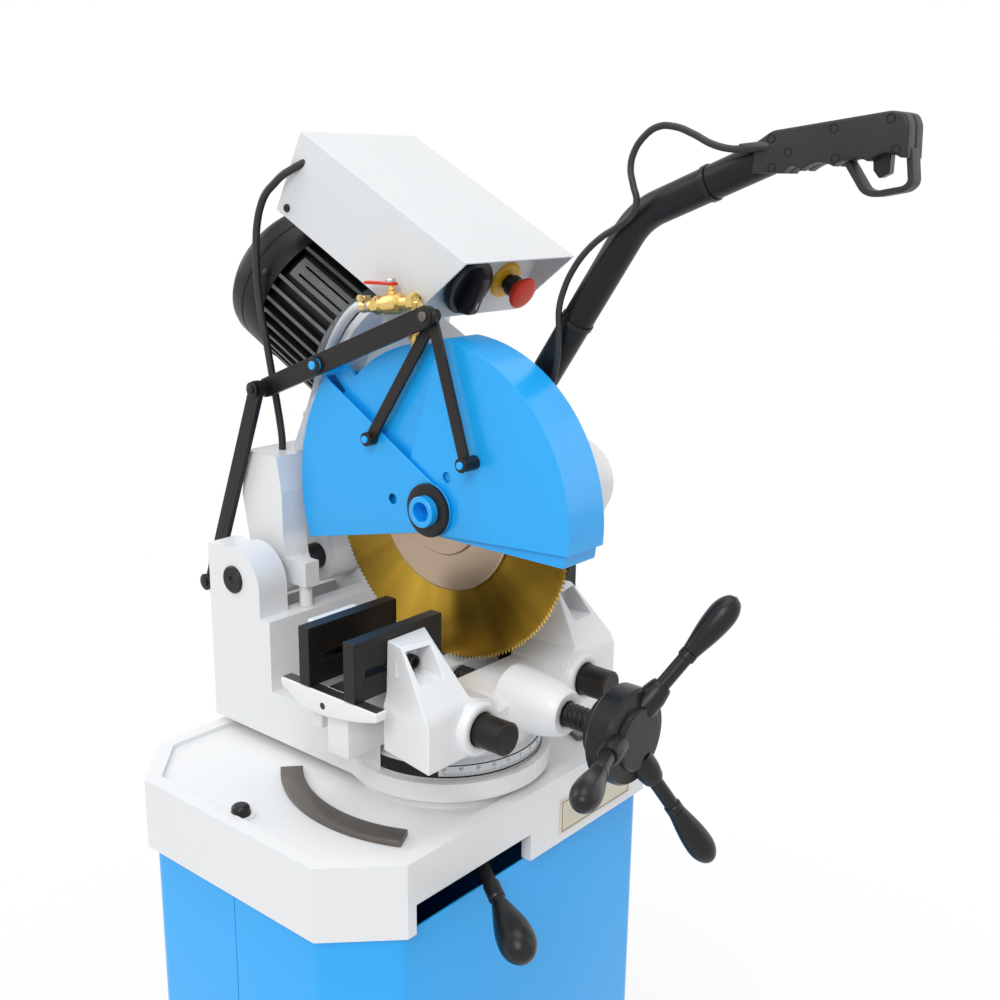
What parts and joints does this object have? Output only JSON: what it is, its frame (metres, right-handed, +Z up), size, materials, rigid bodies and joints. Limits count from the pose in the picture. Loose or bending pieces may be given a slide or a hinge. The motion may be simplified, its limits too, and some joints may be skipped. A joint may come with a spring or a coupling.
{
  "type": "cold saw",
  "caption": "Floor-standing circular cold saw with a tilting geared head, linked blade guards, swivelling mitre arm and self-centring screw vise on a sheet metal stand.",
  "frame": {"origin": "floor level, centre of the floor bolt holes, under the swivel axis of the head", "axes": "+Z up, operator stands at -Y, +X to the operator's right"},
  "size_m": [0.498, 0.7668, 1.444],
  "materials": {
    "blue_paint": "gloss",
    "white_paint": "satin paint",
    "white_sheet": "satin",
    "black_steel": "blackened",
    "black_plastic": "gloss",
    "motor_paint": "satin paint",
    "bright_steel": "machined",
    "coated_blade": "satin",
    "bronze": "satin",
    "winding": "matte",
    "tank_sheet": "satin",
    "yellow_plastic": "matte",
    "red_plastic": "gloss",
    "clear_hose": "clear",
    "black_rubber": "matte"
  },
  "bodies": {
    "base": {"stand_front": "blue_paint", "stand_rear": "blue_paint", "coolant_tank": "tank_sheet", "coolant_pump": "tank_sheet", "base_casting": "white_paint", "base_bolts": "black_steel", "swivel_track": "bright_steel", "name_plate": "white_sheet", "vise_pedestal": "white_paint", "scale_band": "white_sheet", "guide_bars": "black_steel"},
    "swivel": {"swivel_casting": "white_paint", "hinge_pin": "black_steel"},
    "lock_lever": {"lock_lever": "black_steel", "lock_knob": "black_plastic"},
    "head": {"head_casting": "white_paint", "gear_cover": "white_paint", "bearings": "bright_steel", "motor_body": "motor_paint", "motor_stator": "winding", "fan_cowl": "motor_paint", "control_box": "white_sheet", "control_panel": "white_sheet", "stop_collar": "yellow_plastic", "fixed_guard": "blue_paint", "guard_hub": "blue_paint", "guard_washer": "black_steel", "handle_tube": "black_steel", "handle_collar": "black_steel", "grip_left": "black_plastic", "grip_right": "black_plastic", "coolant_valve": "bronze", "coolant_hose": "clear_hose", "handle_lead": "black_rubber", "box_lead": "black_rubber", "cable_ties": "black_plastic"},
    "spindle": {"spindle": "bright_steel", "worm_wheel": "bronze", "blade": "coated_blade", "blade_flange": "bright_steel"},
    "rotor": {"motor_rotor": "bright_steel"},
    "main_switch": {"main_switch": "black_plastic"},
    "stop_button": {"stop_button": "red_plastic"},
    "rear_guard": {"rear_guard": "blue_paint"},
    "front_guard": {"front_guard": "blue_paint"},
    "guard_lever": {"guard_lever": "black_steel"},
    "lift_link": {"lift_link": "black_steel"},
    "rear_guard_link": {"rear_guard_link": "black_steel"},
    "front_guard_link": {"front_guard_link": "black_steel"},
    "trigger": {"trigger": "black_plastic"},
    "valve_lever": {"valve_lever": "red_plastic"},
    "front_jaw": {"front_jaw_casting": "white_paint", "front_jaw_plates": "black_steel", "jaw_screws": "black_steel"},
    "rear_jaw": {"rear_jaw_casting": "white_paint", "rear_jaw_plates": "black_steel"},
    "vise_screw": {"vise_screw": "bright_steel", "handwheel": "black_steel", "handwheel_grips": "black_plastic"}
  },
  "joints": [
    {"name": "swivel_turn", "type": "hinge", "parent": "base", "child": "swivel", "pos_m": [0, 0, 0.8], "axis": [0, 0, 1], "range_deg": [-30, 30]},
    {"name": "lock_turn", "type": "hinge", "parent": "base", "child": "lock_lever", "pos_m": [0, 0, 0.764], "axis": [0, 0, 1], "range_deg": [-8, 12]},
    {"name": "head_pivot", "type": "hinge", "parent": "swivel", "child": "head", "pos_m": [0, 0.22, 0.973], "axis": [-1, 0, 0], "range_deg": [0, 28]},
    {"name": "blade_spin", "type": "hinge", "parent": "head", "child": "spindle", "pos_m": [0, 0.003, 1.075], "axis": [1, 0, 0], "continuous": true},
    {"name": "motor_spin", "type": "hinge", "parent": "head", "child": "rotor", "pos_m": [0.075, -0.01954, 1.11738], "axis": [0, 0.8829, 0.4695], "continuous": true},
    {"name": "rear_guard_turn", "type": "hinge", "parent": "head", "child": "rear_guard", "pos_m": [0, 0.003, 1.075], "axis": [1, 0, 0], "range_deg": [-40, 0]},
    {"name": "front_guard_turn", "type": "hinge", "parent": "head", "child": "front_guard", "pos_m": [0, 0.003, 1.075], "axis": [1, 0, 0], "range_deg": [0, 70]},
    {"name": "guard_lever_turn", "type": "hinge", "parent": "head", "child": "guard_lever", "pos_m": [0, 0.142, 1.20508], "axis": [1, 0, 0], "range_deg": [0, 33]},
    {"name": "lift_link_turn", "type": "hinge", "parent": "guard_lever", "child": "lift_link", "pos_m": [0, 0.224, 1.172], "axis": [1, 0, 0], "range_deg": [-33, 0]},
    {"name": "rear_link_turn", "type": "hinge", "parent": "guard_lever", "child": "rear_guard_link", "pos_m": [0, -0.009, 1.266], "axis": [1, 0, 0], "range_deg": [-18, 0]},
    {"name": "front_link_turn", "type": "hinge", "parent": "guard_lever", "child": "front_guard_link", "pos_m": [0, -0.009, 1.266], "axis": [1, 0, 0], "range_deg": [-36, 0]},
    {"name": "switch_turn", "type": "hinge", "parent": "head", "child": "main_switch", "pos_m": [0.052, -0.08057, 1.23216], "axis": [0, 0.8829, 0.4695], "range_deg": [0, 90]},
    {"name": "stop_press", "type": "slide", "parent": "head", "child": "stop_button", "axis": [0, 0.8829, 0.4695], "range_m": [0, 0.004], "stiffness_N_per_m": 800, "springref_m": -0.002},
    {"name": "valve_turn", "type": "hinge", "parent": "head", "child": "valve_lever", "pos_m": [-0.02, 0.05445, 1.2714], "axis": [0, 0.1392, 0.9903], "range_deg": [0, 90]},
    {"name": "trigger_press", "type": "slide", "parent": "head", "child": "trigger", "axis": [0, 0, 1], "range_m": [0, 0.005], "stiffness_N_per_m": 400, "springref_m": -0.002},
    {"name": "front_jaw_slide", "type": "slide", "parent": "base", "child": "front_jaw", "axis": [0, -1, 0], "range_m": [-0.022, 0.022]},
    {"name": "rear_jaw_slide", "type": "slide", "parent": "base", "child": "rear_jaw", "axis": [0, 1, 0], "range_m": [-0.022, 0.022]},
    {"name": "vise_screw_turn", "type": "hinge", "parent": "base", "child": "vise_screw", "pos_m": [0, 0, 0.898], "axis": [0, 1, 0], "range_deg": [-500, 500]}
  ],
  "couplings": [
    {"joint": "guard_lever_turn", "follows": "head_pivot", "ratio": 1.1598},
    {"joint": "rear_guard_turn", "follows": "head_pivot", "ratio": -1.4231},
    {"joint": "front_guard_turn", "follows": "head_pivot", "ratio": 2.4832},
    {"joint": "lift_link_turn", "follows": "head_pivot", "ratio": -1.1659},
    {"joint": "rear_link_turn", "follows": "head_pivot", "ratio": -0.6304},
    {"joint": "front_link_turn", "follows": "head_pivot", "ratio": -1.2762},
    {"joint": "motor_spin", "follows": "blade_spin", "ratio": 33},
    {"joint": "rear_jaw_slide", "follows": "front_jaw_slide", "ratio": 1},
    {"joint": "vise_screw_turn", "follows": "front_jaw_slide", "rad_per_m": 392.7}
  ]
}
